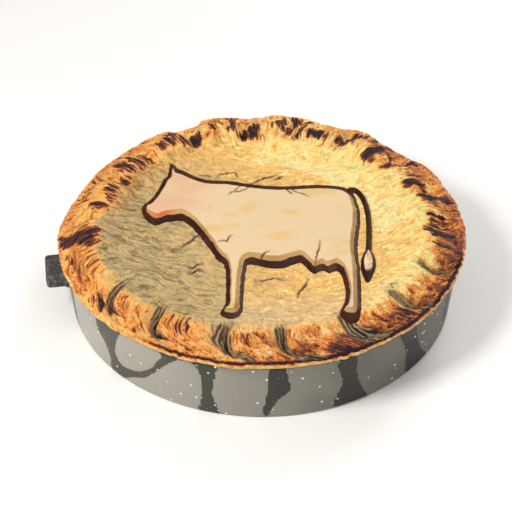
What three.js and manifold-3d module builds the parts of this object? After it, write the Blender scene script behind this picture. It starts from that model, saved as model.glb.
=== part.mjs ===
// A baked beef pie in its own round dish: a shut crust with a hand-crimped rim, a cow cut from
// pastry and laid on the lid with its rolled tail, and the dish with one short lug handle.
// Millimetres, +Z up. The origin is the centre of the dish's underside, and the cow reads
// upright from -Y.
import * as THREE from 'three';
import { mergeVertices } from 'three/addons/utils/BufferGeometryUtils.js';
import Module from 'manifold-3d';

const wasm = await Module();
wasm.setup();

const { smoothstep, degToRad, radToDeg, lerp, euclideanModulo } = THREE.MathUtils;

// Driving dimensions
const gap = 0.3; // clearance between pieces that touch

const dish = {
  footRadius: 127.6, // outside, at the table
  rimRadius: 130.6, // outside, at the rim
  height: 44,
  wall: 4,
  floor: 4.5,
  corner: 2.2, // outside corner at the foot
  innerCorner: 3.5,
  sides: 72,
};

const handle = {
  bearing: 188.5, // degrees round from +X
  reach: 143.5, // outer end, from the dish's axis
  width: 25,
  thickness: 11,
  top: 34,
  cornerRadius: 2.6,
  endBevel: 1.6,
};

const crust = {
  radius: 135, // outer edge, overhanging the dish
  floor: 50, // top of the lid in the middle
  crest: 57, // ridge line before the crimps are pinched
  bead: 50.8, // rolled outer band
  edge: 48.2, // middle of the outer edge
  edgeThickness: 3,
  overhangBottom: 44.8, // underside of the lid just outside the dish
  tuckIn: 2.1, // and how far inside the edge it starts at most
  riseStart: 76, // the lid starts to climb here
  crestRadius: 108,
  beadRadius: 127,
  reliefHeight: 0.6,
  waveDepth: 1.2, // unevenness of the outer edge seen from above
  waveLift: 0.7, // and from the side
  sag: 2, // how far the edge sinks on its far left
  sagBearing: 153,
  sagHalf: 27, // half width of the sunk stretch, degrees
  columns: 144,
};

// Where the edge draws in: bearing and half width in degrees, and depth
const edgeDips = [
  { bearing: 43, half: 9, depth: 3.8 },
  { bearing: 67, half: 6, depth: 3.6 },
  { bearing: 92, half: 4.5, depth: 4 },
  { bearing: 115.5, half: 5.5, depth: 7 },
  { bearing: 153, half: 27, depth: 3.4 },
];

const crimps = {
  count: 18,
  first: 17, // bearing of the first pinch, degrees
  jitter: 3, // how unevenly they are spaced, degrees
  lobeHeight: 3.8,
  pinchDepth: 3.4,
  innerReach: 90, // radii between which the pinches show
  outerReach: 130,
  frontBearing: 268, // the pinches on the near side lie further out
  frontShift: 12,
  hookMean: 4.5, // how far a pinch swings round on its way out, degrees
  hookSwing: 4,
  hookBearing: 225, // where the swing is largest
  hookFrom: 117, // radii over which it swings
  hookTo: 134,
};

const cowStretch = 1.6; // the cow's height on the lid against its natural height
const cutOut = {
  sunk: 0.6, // pressed into the lid
  footEdge: 0.3, // height of the baked-on foot at its outer line
  footTop: 1.2, // and where it meets the dough's side
  pressed: 3, // the lid is flat this far round the pastry
  freed: 12, // and has its full relief from here on
  headroom: 8,
};

// How far the foot spreads and the shoulder draws in on each side, back being away from -Y
const cowSides = {
  foot: { left: 3.2, right: 2.7, back: 4.9, front: 4.2 },
  shoulder: { left: -0.7, right: -2.7, back: -0.5, front: -1.8 },
  top: 3.6,
};
const tailSides = {
  foot: { left: 1.1, right: 1.1, back: 1.1, front: 1.1 },
  shoulder: { left: -0.35, right: -0.35, back: -0.35, front: -0.35 },
  top: 2.6,
};
const tailStrand = { halfWidth: 0.75, tuftHalfWidth: 3.1, tuftStart: 0.7, steps: 34 };

// Deterministic value noise, -1 to 1
function hash(i, j) {
  const s = Math.sin(i * 127.1 + j * 311.7) * 43758.5453;
  return (s - Math.floor(s)) * 2 - 1;
}

function noise(x, y) {
  const i = Math.floor(x);
  const j = Math.floor(y);
  const u = smoothstep(x - i, 0, 1);
  const v = smoothstep(y - j, 0, 1);
  const near = lerp(hash(i, j), hash(i + 1, j), u);
  const far = lerp(hash(i, j + 1), hash(i + 1, j + 1), u);
  return lerp(near, far, v);
}

// Geometry helpers
function solidFrom(geometry) {
  const bare = geometry.clone();
  bare.deleteAttribute('normal');
  bare.deleteAttribute('uv');
  const merged = mergeVertices(bare, 1e-4);
  const mesh = new wasm.Mesh({
    numProp: 3,
    vertProperties: merged.attributes.position.array,
    triVerts: new Uint32Array(merged.index.array),
  });
  return new wasm.Manifold(mesh);
}

function geometryFrom(solid) {
  const mesh = solid.getMesh();
  const geometry = new THREE.BufferGeometry();
  geometry.setAttribute('position', new THREE.BufferAttribute(mesh.vertProperties, 3));
  geometry.setIndex(new THREE.BufferAttribute(mesh.triVerts, 1));
  geometry.computeVertexNormals();
  return geometry;
}

function lathe(profile, sides) {
  // The lathe turns about Y, so its Y is laid along Z.
  return new THREE.LatheGeometry(profile, sides).rotateX(Math.PI / 2);
}

function indexed(positions, triangles) {
  const geometry = new THREE.BufferGeometry();
  geometry.setAttribute('position', new THREE.Float32BufferAttribute(positions, 3));
  geometry.setIndex(triangles);
  geometry.computeVertexNormals();
  return geometry;
}

// The dish
function dishOutline(grow) {
  // Half section of the outside, from the axis at the foot up to the rim, moved out by grow.
  const outline = new THREE.Path();
  outline.moveTo(0, -grow);
  outline.lineTo(dish.footRadius - dish.corner, -grow);
  outline.quadraticCurveTo(dish.footRadius + grow, -grow, dish.footRadius + 0.15 + grow, dish.corner);
  outline.lineTo(dish.rimRadius + grow, dish.height - 1.5);
  return outline;
}

function dishGeometry() {
  const outline = dishOutline(0);
  const innerRim = dish.rimRadius - dish.wall;
  const innerFoot = dish.footRadius - dish.wall;
  outline.quadraticCurveTo(dish.rimRadius, dish.height, dish.rimRadius - 1.5, dish.height);
  outline.lineTo(innerRim + 1, dish.height);
  outline.quadraticCurveTo(innerRim, dish.height, innerRim, dish.height - 1);
  outline.lineTo(innerFoot, dish.floor + dish.innerCorner);
  outline.quadraticCurveTo(innerFoot, dish.floor, innerFoot - dish.innerCorner, dish.floor);
  outline.lineTo(0, dish.floor);
  return lathe(outline.getPoints(3), dish.sides);
}

// The lug handle, rooted on the dish's wall
function handleGeometry() {
  const { width, thickness, cornerRadius: r, endBevel, reach, top } = handle;
  const w = width / 2 - endBevel;
  const t = thickness / 2 - endBevel;
  const section = new THREE.Shape();
  section.moveTo(-w + r, -t);
  section.lineTo(w - r, -t);
  section.quadraticCurveTo(w, -t, w, -t + r);
  section.lineTo(w, t - r);
  section.quadraticCurveTo(w, t, w - r, t);
  section.lineTo(-w + r, t);
  section.quadraticCurveTo(-w, t, -w, t - r);
  section.lineTo(-w, -t + r);
  section.quadraticCurveTo(-w, -t, -w + r, -t);
  const rootRadius = dish.footRadius - 6;
  const bar = new THREE.ExtrudeGeometry(section, {
    depth: reach - rootRadius - 2 * endBevel,
    curveSegments: 4,
    bevelThickness: endBevel,
    bevelSize: endBevel,
    bevelSegments: 3,
  });
  // The extrusion's depth becomes the radial direction and the section's height stays up.
  bar.rotateX(Math.PI / 2).rotateZ(Math.PI / 2);
  bar.translate(rootRadius + endBevel, 0, top - thickness / 2);
  bar.rotateZ(degToRad(handle.bearing));
  const envelope = dishOutline(gap);
  envelope.lineTo(0, dish.height - 1.5);
  const wall = solidFrom(lathe(envelope.getPoints(3), dish.sides));
  return geometryFrom(solidFrom(bar).subtract(wall));
}

// The lid's height before anything is laid on it
function baseHeight(r) {
  const climb = smoothstep(r, crust.riseStart, crust.crestRadius);
  if (r < crust.crestRadius) return lerp(crust.floor, crust.crest, climb);
  return lerp(crust.crest, crust.bead, smoothstep(r, crust.crestRadius, crust.beadRadius));
}

// A value from -1 to 1 that changes smoothly round the pie and meets itself after a full turn
function roundNoise(angle, detail, seed) {
  return noise(detail * Math.cos(angle) + seed, detail * Math.sin(angle));
}

// The bump between two pinches: nothing at the pinch, rising steeply on its far side
function lobeAt(angle, r) {
  const pitch = 360 / crimps.count;
  const focus = Math.cos(angle - degToRad(crimps.hookBearing));
  const swing = crimps.hookMean + crimps.hookSwing * focus;
  const hook = swing * smoothstep(r, crimps.hookFrom, crimps.hookTo);
  const stray = crimps.jitter * roundNoise(angle, 5, 60);
  const turn = (radToDeg(angle) - hook - stray - crimps.first) / pitch;
  const u = euclideanModulo(turn, 1);
  const height = 1 + 0.22 * hash(euclideanModulo(Math.floor(turn), crimps.count), 7);
  return height * smoothstep(u, 0, 0.3) * (1 - smoothstep(u, 0.6, 1));
}

function crimpHeight(angle, r) {
  const front = smoothstep(Math.cos(angle - degToRad(crimps.frontBearing)), 0.02, 0.4);
  const near = r - crimps.frontShift * front;
  const fade = smoothstep(r, lerp(118, 124, front), crimps.outerReach + 2);
  const band = smoothstep(near, crimps.innerReach, 106) * (1 - fade);
  const lobe = lobeAt(angle, r);
  const pinch = 1 - Math.min(lobe * 1.6, 1);
  return band * (crimps.lobeHeight * lobe - crimps.pinchDepth * pinch);
}

function relief(x, y) {
  return crust.reliefHeight * (0.65 * noise(x / 15, y / 11) + 0.35 * noise(x / 6 + 40, y / 5));
}

// A flat-topped swell, 1 at its bearing and 0 well past its half width
function swell(angle, bearing, half) {
  const away = euclideanModulo(radToDeg(angle) - bearing + 180, 360) - 180;
  return Math.exp(-((away / half) ** 4));
}

function edgeWave(angle) {
  const wave = crust.waveDepth * (0.6 * roundNoise(angle, 6, 20) + 0.4 * roundNoise(angle, 15, 40));
  return edgeDips.reduce((sum, dip) => sum - dip.depth * swell(angle, dip.bearing, dip.half), wave);
}

function edgeSag(angle) {
  return crust.sag * swell(angle, crust.sagBearing, crust.sagHalf);
}

// How far from the cut-outs a point is, as a share from pressed flat (0) to free (1)
function freeOf(outlines, x, y) {
  let nearest = Infinity;
  for (const outline of outlines) {
    for (const p of outline) nearest = Math.min(nearest, Math.hypot(p.x - x, p.y - y));
  }
  return smoothstep(nearest, cutOut.pressed, cutOut.freed);
}

function lidHeight(x, y, outlines) {
  const r = Math.hypot(x, y);
  const lumps = crimpHeight(Math.atan2(y, x), r) + relief(x, y);
  return baseHeight(r) + freeOf(outlines, x, y) * lumps;
}

// The pie: lid, crimped rim and the filling under it, as one body that fills the dish
function pieGeometry(outlines) {
  const topRadii = [30, 54, 71, 82, 90, 96, 101, 106, 111, 116, 121, 125, 128.5, 132];
  const half = crust.edgeThickness / 2;
  const innerRim = dish.rimRadius - dish.wall - gap;
  const innerFoot = dish.footRadius - dish.wall - gap;
  const lip = [
    [crust.radius - 1.2, crust.edge + half],
    [crust.radius, crust.edge],
    [crust.radius - 1.2, crust.edge - half],
  ];
  const underside = [
    [innerRim, dish.height + gap],
    [innerRim, dish.height - 1],
    [innerFoot, dish.floor + gap + dish.innerCorner],
    [innerFoot - dish.innerCorner, dish.floor + gap],
  ];
  const positions = [];
  const push = (x, y, z) => positions.push(x, y, z) / 3 - 1;
  const angles = Array.from({ length: crust.columns }, (_, j) => (j * 2 * Math.PI) / crust.columns);
  const topRing = (radius) =>
    angles.map((angle) => {
      const r = radius + edgeWave(angle) * smoothstep(radius, 118, crust.radius);
      const [x, y] = [r * Math.cos(angle), r * Math.sin(angle)];
      return push(x, y, lidHeight(x, y, outlines) - edgeSag(angle) * smoothstep(radius, 112, 132));
    });
  const lipRing = ([radius, z]) =>
    angles.map((angle) => {
      const r = radius + edgeWave(angle);
      const lift = crust.waveLift * roundNoise(angle, 8, 90) - edgeSag(angle);
      return push(r * Math.cos(angle), r * Math.sin(angle), z + lift);
    });
  const overhangRing = angles.map((angle) => {
    const r = Math.min(dish.rimRadius + 1, crust.radius + edgeWave(angle) - crust.tuckIn);
    return push(r * Math.cos(angle), r * Math.sin(angle), crust.overhangBottom);
  });
  const plainRing = ([r, z]) => angles.map((angle) => push(r * Math.cos(angle), r * Math.sin(angle), z));
  const topRings = topRadii.map(topRing);
  const rings = [...topRings, ...lip.map(lipRing), overhangRing, ...underside.map(plainRing)];
  const crown = push(0, 0, lidHeight(0, 0, outlines));
  const bottom = push(0, 0, dish.floor + gap);
  const triangles = [];
  const last = rings.length - 1;
  for (let j = 0; j < crust.columns; j++) {
    const next = (j + 1) % crust.columns;
    triangles.push(crown, rings[0][j], rings[0][next]);
    triangles.push(bottom, rings[last][next], rings[last][j]);
    for (let i = 0; i < last; i++) {
      const [a, b] = [rings[i][j], rings[i][next]];
      const [c, d] = [rings[i + 1][j], rings[i + 1][next]];
      triangles.push(a, c, d, a, d, b);
    }
  }
  return indexed(positions, triangles);
}

// The cow, drawn in its natural proportions
const at = (...pairs) => pairs.map(([x, y]) => new THREE.Vector2(x, y));

function cowOutline() {
  const cow = new THREE.Shape();
  cow.moveTo(-61.5, 38); // tip of the ear
  cow.splineThru(at([-58.6, 35.2], [-54.3, 34.4], [-45, 30.2], [-36, 27.6], [-23, 27.2])); // neck
  cow.splineThru(at([-11, 25.3], [1.2, 23.7], [16, 23.1], [38, 24.1], [54, 23], [61, 19.6])); // back
  cow.splineThru(at([63.4, 10], [62.4, 0], [59.8, -14], [60, -28.6], [59.2, -44], [57.8, -57.2])); // ham
  cow.splineThru(at([56.2, -59.6], [50.6, -59.6], [50, -58.4])); // hind hoof
  cow.splineThru(at([53, -55], [54.9, -46], [55, -38], [53.4, -30.4], [50.4, -26])); // shin
  cow.splineThru(at([47.4, -25], [42.4, -26.8], [39.2, -25], [33.8, -26.8], [30.4, -23.8])); // udder
  cow.splineThru(at([26, -20.2], [20, -21.2], [13, -23.4], [4.8, -23.4], [-3, -21.6])); // belly
  cow.splineThru(at([-8, -21.4], [-11.4, -23.6], [-12.6, -30], [-13.7, -42], [-14, -53])); // foreleg
  cow.splineThru(at([-16, -57.6], [-21.6, -58], [-22.6, -56.8])); // fore hoof
  cow.splineThru(at([-19.6, -51.5], [-19.3, -42], [-19.7, -30], [-21.6, -22.6])); // its front
  cow.splineThru(at([-26, -19.6], [-31, -12.6], [-41.7, 0.2], [-49.6, 6.6], [-54, 7.6])); // throat
  cow.splineThru(at([-62.8, 6.7], [-69.5, 4.6], [-74.6, 7.2], [-77, 10.4], [-76.4, 12.2])); // muzzle
  cow.splineThru(at([-73.6, 13.6], [-69.4, 19.2], [-65.8, 26.4], [-64.4, 29.6], [-61.4, 32.6])); // face
  cow.closePath();
  return cow.getSpacedPoints(150).slice(0, 150);
}

// The tail, a rolled strand from the rump down to a pointed tuft, as a width along a line
function tailOutline() {
  const { halfWidth, tuftHalfWidth, tuftStart, steps } = tailStrand;
  const route = at([59, 24.4], [64.4, 24.4], [68.6, 19.6], [70.9, 11], [71.2, 2], [70.2, -9]);
  route.push(...at([69, -18], [66.6, -38]));
  const line = new THREE.SplineCurve(route);
  const left = [];
  const right = [];
  for (let i = 0; i <= steps; i++) {
    const t = i / steps;
    const p = line.getPointAt(t);
    const d = line.getTangentAt(t);
    const tuft = Math.max(0, (t - tuftStart) / (1 - tuftStart));
    const half = halfWidth * (1 - tuft * tuft) + tuftHalfWidth * Math.sin(Math.PI * tuft ** 0.8);
    left.push(new THREE.Vector2(p.x - d.y * half, p.y + d.x * half));
    right.push(new THREE.Vector2(p.x + d.y * half, p.y - d.x * half));
  }
  right.pop(); // both sides end in the tip
  return [...right, ...left.reverse()];
}

// Moves an outline out by so much on each side, along its smoothed normals
function spread(outline, { left, right, back, front }) {
  const n = outline.length;
  const edgeNormal = (i) => {
    const a = outline[euclideanModulo(i, n)];
    const b = outline[euclideanModulo(i + 1, n)];
    return new THREE.Vector2(b.y - a.y, a.x - b.x).normalize();
  };
  return outline.map((p, i) => {
    const normal = new THREE.Vector2();
    for (let k = -2; k < 2; k++) normal.add(edgeNormal(i + k));
    normal.normalize();
    const dx = normal.x * (normal.x > 0 ? right : left);
    const dy = normal.y * (normal.y > 0 ? back : front);
    return new THREE.Vector2(p.x + dx, p.y + dy);
  });
}

const grown = (sides, by) =>
  Object.fromEntries(Object.entries(sides).map(([side, distance]) => [side, distance + by]));

const onLid = (outline) => outline.map((p) => new THREE.Vector2(p.x, p.y * cowStretch));

// A closed solid through rings of equal length, each { points, lift } above the lid
function ringSolid(rings) {
  const positions = [];
  const triangles = [];
  const n = rings[0].points.length;
  for (const { points, lift } of rings) {
    for (const p of points) positions.push(p.x, p.y, baseHeight(p.length()) + lift);
  }
  for (let i = 0; i < rings.length - 1; i++) {
    for (let j = 0; j < n; j++) {
      const a = i * n + j;
      const b = i * n + ((j + 1) % n);
      triangles.push(a, b, b + n, a, b + n, a + n);
    }
  }
  const top = (rings.length - 1) * n;
  for (const [a, b, c] of THREE.ShapeUtils.triangulateShape(rings[0].points, [])) {
    triangles.push(a, c, b);
  }
  for (const [a, b, c] of THREE.ShapeUtils.triangulateShape(rings.at(-1).points, [])) {
    triangles.push(top + a, top + b, top + c);
  }
  return solidFrom(indexed(positions, triangles));
}

// Pastry cut to an outline, with its baked-on foot, and the bed that it is pressed into
function cutOutSolids(drawn, { foot, shoulder, top }) {
  const outline = THREE.ShapeUtils.isClockWise(drawn) ? drawn.slice().reverse() : drawn;
  const footLine = onLid(spread(outline, foot));
  const bedLine = onLid(spread(outline, grown(foot, gap)));
  return {
    footLine,
    pastry: ringSolid([
      { points: footLine, lift: -cutOut.sunk },
      { points: footLine, lift: cutOut.footEdge },
      { points: onLid(outline), lift: cutOut.footTop },
      { points: onLid(spread(outline, shoulder)), lift: top },
    ]),
    bed: ringSolid([
      { points: footLine, lift: -cutOut.sunk - gap },
      { points: bedLine, lift: -cutOut.sunk },
      { points: bedLine, lift: cutOut.headroom },
    ]),
  };
}

function mesh(name, geometry, colour, roughness, metalness = 0) {
  const material = new THREE.MeshStandardMaterial({ color: colour, roughness, metalness });
  const made = new THREE.Mesh(geometry, material);
  made.name = name;
  return made;
}

const cow = cutOutSolids(cowOutline(), cowSides);
const tail = cutOutSolids(tailOutline(), tailSides);
const pie = solidFrom(pieGeometry([cow.footLine, tail.footLine]));

const beefPie = new THREE.Group();
beefPie.add(
  mesh('dish', dishGeometry(), '#9b9a92', 0.3),
  mesh('handle', handleGeometry(), '#3a3a3a', 0.7, 0.4),
  mesh('pie', geometryFrom(pie.subtract(cow.bed).subtract(tail.bed)), '#d9a95a', 0.75),
  mesh('cow', geometryFrom(cow.pastry), '#ecd3a8', 0.8),
  mesh('tail', geometryFrom(tail.pastry.subtract(cow.bed)), '#5a3420', 0.7),
);

export default beefPie;
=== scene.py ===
import math

import bpy
import numpy as np
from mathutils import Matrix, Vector


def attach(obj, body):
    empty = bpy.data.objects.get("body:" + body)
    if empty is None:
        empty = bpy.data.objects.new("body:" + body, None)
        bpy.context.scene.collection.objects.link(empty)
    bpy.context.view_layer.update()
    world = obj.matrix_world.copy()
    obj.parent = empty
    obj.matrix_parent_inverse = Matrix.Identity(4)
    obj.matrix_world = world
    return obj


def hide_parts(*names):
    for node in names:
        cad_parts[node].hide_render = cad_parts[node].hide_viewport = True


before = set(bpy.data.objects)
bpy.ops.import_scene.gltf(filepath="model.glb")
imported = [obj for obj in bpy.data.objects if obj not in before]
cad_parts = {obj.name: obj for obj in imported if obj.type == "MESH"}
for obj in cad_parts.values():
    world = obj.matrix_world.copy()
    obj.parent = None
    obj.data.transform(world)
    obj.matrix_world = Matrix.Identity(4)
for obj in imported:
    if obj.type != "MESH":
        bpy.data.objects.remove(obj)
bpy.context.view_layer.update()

# The beef pie dressed over its frame. Shapes are worked out in millimetres and bearings in degrees,
# as in the solids. The sizes in materials are in metres.
mm = 0.001
rootBody = "root"


def smooth(x, low, high):
    t = np.clip((x - low) / (high - low), 0, 1)
    return t * t * (3 - 2 * t)


def fade(x, low, high):
    return 1 - smooth(x, low, high)


def hump(x, width, power=2):
    # 1 at 0, falling away on both sides; a higher power makes its top flatter
    return np.exp(-(x / width) ** power)


def mix(a, b, t):
    return a * (1 - t) + b * t


def hashAt(i, j):
    s = np.sin(i * 127.1 + j * 311.7) * 43758.5453
    return (s - np.floor(s)) * 2 - 1


def noise(x, y, period=0):
    # value noise from -1 to 1, which repeats along x after so many cells if a period is given
    i, j = np.floor(x), np.floor(y)
    u, v = smooth(x - i, 0, 1), smooth(y - j, 0, 1)
    left, right = (i % period, (i + 1) % period) if period else (i, i + 1)
    near = mix(hashAt(left, j), hashAt(right, j), u)
    far = mix(hashAt(left, j + 1), hashAt(right, j + 1), u)
    return mix(near, far, v)


def fractal(x, y, octaves, seed):
    total, size, most = 0, 1.0, 0.0
    for k in range(octaves):
        total = total + size * noise(x * 2 ** k + seed + 17.3 * k, y * 2 ** k + 31.7 * k)
        most += size
        size *= 0.55
    return total / most


def roundNoise(angle, detail, seed):
    return noise(detail * np.cos(angle) + seed, detail * np.sin(angle))


def groove(value, width):
    # narrow lines where a noise crosses 0
    return fade(np.abs(value), 0, width)


def turned(degrees, bearing):
    # how far round from a bearing, either way
    return (degrees - bearing + 180) % 360 - 180


def facing(angle, bearing, low, high):
    return smooth(np.cos(angle - math.radians(bearing)), low, high)


def placed(name, data):
    thing = bpy.data.objects.new(name, data)
    bpy.context.scene.collection.objects.link(thing)
    return thing


def meshPiece(name, points, faces, slotName, *nodes):
    mesh = bpy.data.meshes.new(name)
    mesh.from_pydata((np.asarray(points) * mm).tolist(), [], faces)
    mesh.shade_smooth()
    mesh.update()
    piece = placed(name, mesh)
    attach(piece, rootBody)
    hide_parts(*nodes)
    return piece


def setMasks(piece, **masks):
    for name, values in masks.items():
        mask = piece.data.attributes.new(name, "FLOAT", "POINT")
        mask.data.foreach_set("value", np.clip(values, 0, 1).astype(np.float32))


def setFlow(piece, name, vectors):
    flow = piece.data.attributes.new(name, "FLOAT_VECTOR", "POINT")
    flow.data.foreach_set("vector", vectors.astype(np.float32).ravel())


def ringAt(radius, height, angles):
    return np.stack(np.broadcast_arrays(radius * np.cos(angles), radius * np.sin(angles), height), -1)


def ringFaces(rows, columns):
    # quads between rings of points that lie one after another
    i, j = np.arange(rows - 1)[:, None] * columns, np.arange(columns)[None, :]
    k = (j + 1) % columns
    return np.stack([i + j, i + columns + j, i + columns + k, i + k], -1).reshape(-1, 4).tolist()


def shellFaces(rows, columns, flip=False):
    # the quads between the rings, and a fan from the first and last ring to the two points after them
    j = np.arange(columns)
    k, pole, last = (j + 1) % columns, np.full(columns, rows * columns), (rows - 1) * columns
    fans = [np.stack([pole, j, k], -1), np.stack([pole + 1, last + k, last + j], -1)]
    faces = ringFaces(rows, columns) + np.vstack(fans).tolist()
    return [f[::-1] for f in faces] if flip else faces


def toSegment(x, y, start, end):
    # squared distance to a straight line between two points, and the share of it before the nearest place
    (ax, ay), (bx, by) = start, end
    dx, dy = bx - ax, by - ay
    t = np.clip(((x - ax) * dx + (y - ay) * dy) / (dx * dx + dy * dy), 0, 1)
    return (x - ax - t * dx) ** 2 + (y - ay - t * dy) ** 2, t


def lineDistance(x, y, line):
    # distance to a line through points, and how far along it the nearest place is, from 0 to 1
    nearest, paintedShadeToRight = np.full(x.shape, 1e9), np.zeros(x.shape)
    for k in range(len(line) - 1):
        d, t = toSegment(x, y, line[k], line[k + 1])
        paintedShadeToRight = np.where(d < nearest, (k + t) / (len(line) - 1), paintedShadeToRight)
        nearest = np.minimum(nearest, d)
    return np.sqrt(nearest), paintedShadeToRight


def insideDistance(x, y, outline):
    # distance to a closed outline, positive inside
    nearest, inside = np.full(x.shape, 1e9), np.zeros(x.shape, bool)
    for start, end in zip(outline, np.roll(outline, -1, 0)):
        nearest = np.minimum(nearest, toSegment(x, y, start, end)[0])
        if start[1] != end[1]:
            run = (end[0] - start[0]) * (y - start[1]) / (end[1] - start[1])
            inside ^= ((start[1] > y) != (end[1] > y)) & (x < start[0] + run)
    return np.where(inside, 1, -1) * np.sqrt(nearest)


def cracksAt(x, y, lines, look):
    # how deep in a crack each place is, from 0 to 1; cracks waver, and thin out towards their ends
    cellX, cellY = look["cells"]
    u = x + 0.5 * noise(x / cellX, y / cellX)
    v = y + look["sway"] * noise(x / cellY + 5, y / cellY)
    crack = np.zeros(x.shape)
    for line in lines:
        d, t = lineDistance(u, v, line)
        crack = np.maximum(crack, fade(d, *look["width"]) * mix(look["atEnds"], 1, np.sin(math.pi * t)))
    return crack


def colour(code):
    # a display colour such as "#c08040" as the linear values that a shader takes
    parts = [int(code[k:k + 2], 16) / 255 for k in (1, 3, 5)]
    return [p / 12.92 if p <= 0.04045 else ((p + 0.055) / 1.055) ** 2.4 for p in parts] + [1.0]


class Wire:
    # a node's output, which can be reckoned with like a number
    def __init__(self, nodes, socket):
        self.nodes, self.socket = nodes, socket

    def __add__(self, other):
        return self.nodes.math("ADD", self, other)

    def __sub__(self, other):
        return self.nodes.math("SUBTRACT", self, other)

    def __rsub__(self, other):
        return self.nodes.math("SUBTRACT", other, self)

    def __mul__(self, other):
        return self.nodes.math("MULTIPLY", self, other)


class Nodes:
    # a short way to add and join the nodes of one tree; an input is given by its name, or as i and its number
    def __init__(self, tree):
        self.tree = tree

    def add(self, kind, settings=None, **inputs):
        node = self.tree.nodes.new("ShaderNode" + kind)
        for key, value in (settings or {}).items():
            setattr(node, key, value)
        self.fill(node, **inputs)
        return node

    def fill(self, node, **inputs):
        for key, value in inputs.items():
            key = key.replace("_", " ")
            socket = node.inputs[int(key[1:]) if key[0] == "i" and key[1:].isdigit() else key]
            if isinstance(value, Wire):
                self.tree.links.new(value.socket, socket)
            else:
                socket.default_value = colour(value) if isinstance(value, str) else value

    def finish(self, **inputs):
        self.fill(self.tree.nodes["Principled BSDF"], **inputs)

    def wire(self, node, output=0):
        return Wire(self, node.outputs[output])

    def place(self):
        return self.wire(self.add("TexCoord"), "Object")

    def mask(self, name, output="Fac"):
        return self.wire(self.add("Attribute", {"attribute_name": name}), output)

    def math(self, operation, a, b=0, clamp=False):
        return self.wire(self.add("Math", {"operation": operation, "use_clamp": clamp}, i0=a, i1=b))

    def between(self, share, a, b):
        return self.wire(self.add("Mix", i0=share, i2=a, i3=b))

    def blend(self, share, a, b):
        return self.wire(self.add("Mix", {"data_type": "RGBA"}, i0=share, i6=a, i7=b), 2)

    def span(self, value, low, high, toLow=0, toHigh=1):
        return self.wire(self.add("MapRange", {"interpolation_type": "SMOOTHSTEP"}, Value=value, From_Min=low,
                                  From_Max=high, To_Min=toLow, To_Max=toHigh))

    def ramp(self, value, stops):
        node = self.add("ValToRGB", Fac=value)
        band, places = node.color_ramp.elements, sorted(stops)
        band[0].position, band[1].position = places[0], places[-1]
        for place in places[1:-1]:
            band.new(place)
        for element, place in zip(band, places):
            element.color = colour(stops[place])
        return self.wire(node)

    def noise(self, vector, scale=1, **inputs):
        return self.wire(self.add("TexNoise", Vector=vector, Scale=scale, **inputs))

    def stretched(self, vector, scale, **inputs):
        # noise whose grain is longer along some axes, from 0 to 1
        scaled = self.wire(self.add("VectorMath", {"operation": "MULTIPLY"}, i0=vector, i1=scale))
        return self.noise(scaled, **{"Detail": 3, "Roughness": 0.6, **inputs})

    def bump(self, height, strength, distance):
        return self.wire(self.add("Bump", Height=height, Strength=strength, Distance=distance))

    def group(self, name, **inputs):
        node = self.add("Group", {"node_tree": groups[name]}, **inputs)
        return {socket.name: Wire(self, socket) for socket in node.outputs}


colourSockets = ("Pale", "Color")


def newGroup(name, inputs, outputs):
    tree = bpy.data.node_groups.new(name, "ShaderNodeTree")
    for side, labels in (("INPUT", inputs), ("OUTPUT", outputs)):
        for label in labels:
            socketType = "NodeSocketColor" if label in colourSockets else "NodeSocketFloat"
            tree.interface.new_socket(label, in_out=side, socket_type=socketType)
    n, source = Nodes(tree), tree.nodes.new("NodeGroupInput")
    given = {socket.name: Wire(n, socket) for socket in source.outputs}
    return tree, n, given, tree.nodes.new("NodeGroupOutput")


def newMaterial(name):
    material = bpy.data.materials.new(name)
    material.use_nodes = True
    return material, Nodes(material.node_tree)


def grainGroup():
    # the fine crumb of baked pastry: a height for bumps, an unevenness of tone round 0, and fine cracks
    tree, n, given, out = newGroup(
        "pastryGrain", ["Crumb Size", "Roughness Of Crumb"], ["Height", "Tone", "Cracks"])
    place, scale = n.place(), n.math("DIVIDE", 1, given["Crumb Size"])
    crumb = n.noise(place, scale, Detail=4, Roughness=given["Roughness Of Crumb"])
    coarse = n.noise(place, n.math("DIVIDE", scale, 5), Detail=3)
    pits = n.wire(n.add("TexVoronoi", Vector=place, Scale=scale * 0.8), "Distance")
    flakes = n.noise(place, n.math("DIVIDE", scale, 2.4), Detail=3, Roughness=0.6, Distortion=0.6)
    lines = 1 - n.span(n.math("ABSOLUTE", flakes - 0.5), 0, 0.035)
    n.fill(
        out, Height=crumb + n.span(pits, 0, 0.35) * 0.25, Tone=crumb * 0.6 + coarse * 0.7 - 0.65,
        Cracks=lines * n.span(coarse, 0.42, 0.56))
    return tree


def bakeGroup():
    # how pastry colours in the oven: from its pale self through gold and brown to scorched
    tree, n, given, out = newGroup("ovenTone", ["Pale", "Bake"], ["Color"])
    baked = n.ramp(given["Bake"], {
        0.06: "#ffd07c", 0.2: "#fba957", 0.34: "#e08a42", 0.52: "#9c502c", 0.72: "#5c2c22", 0.88: "#36212a",
        1: "#231924",
    })
    n.fill(out, Color=n.blend(n.span(given["Bake"], 0, 0.2), given["Pale"], baked))
    return tree


def speckGroup():
    # small round specks, here and there
    tree, n, given, out = newGroup("glazeSpecks", ["Spacing", "Size", "Share"], ["Mask"])
    cells = n.add("TexVoronoi", Vector=n.place(), Scale=n.math("DIVIDE", 1, given["Spacing"]))
    near = n.math("LESS_THAN", n.wire(cells, "Distance"), given["Size"])
    lot = n.wire(n.add("SeparateColor", Color=n.wire(cells, "Color")))
    n.fill(out, Mask=near * n.math("LESS_THAN", lot, given["Share"]))
    return tree


groups = {"grain": grainGroup(), "bake": bakeGroup(), "specks": speckGroup()}
print("stage: shared node groups made")

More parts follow.
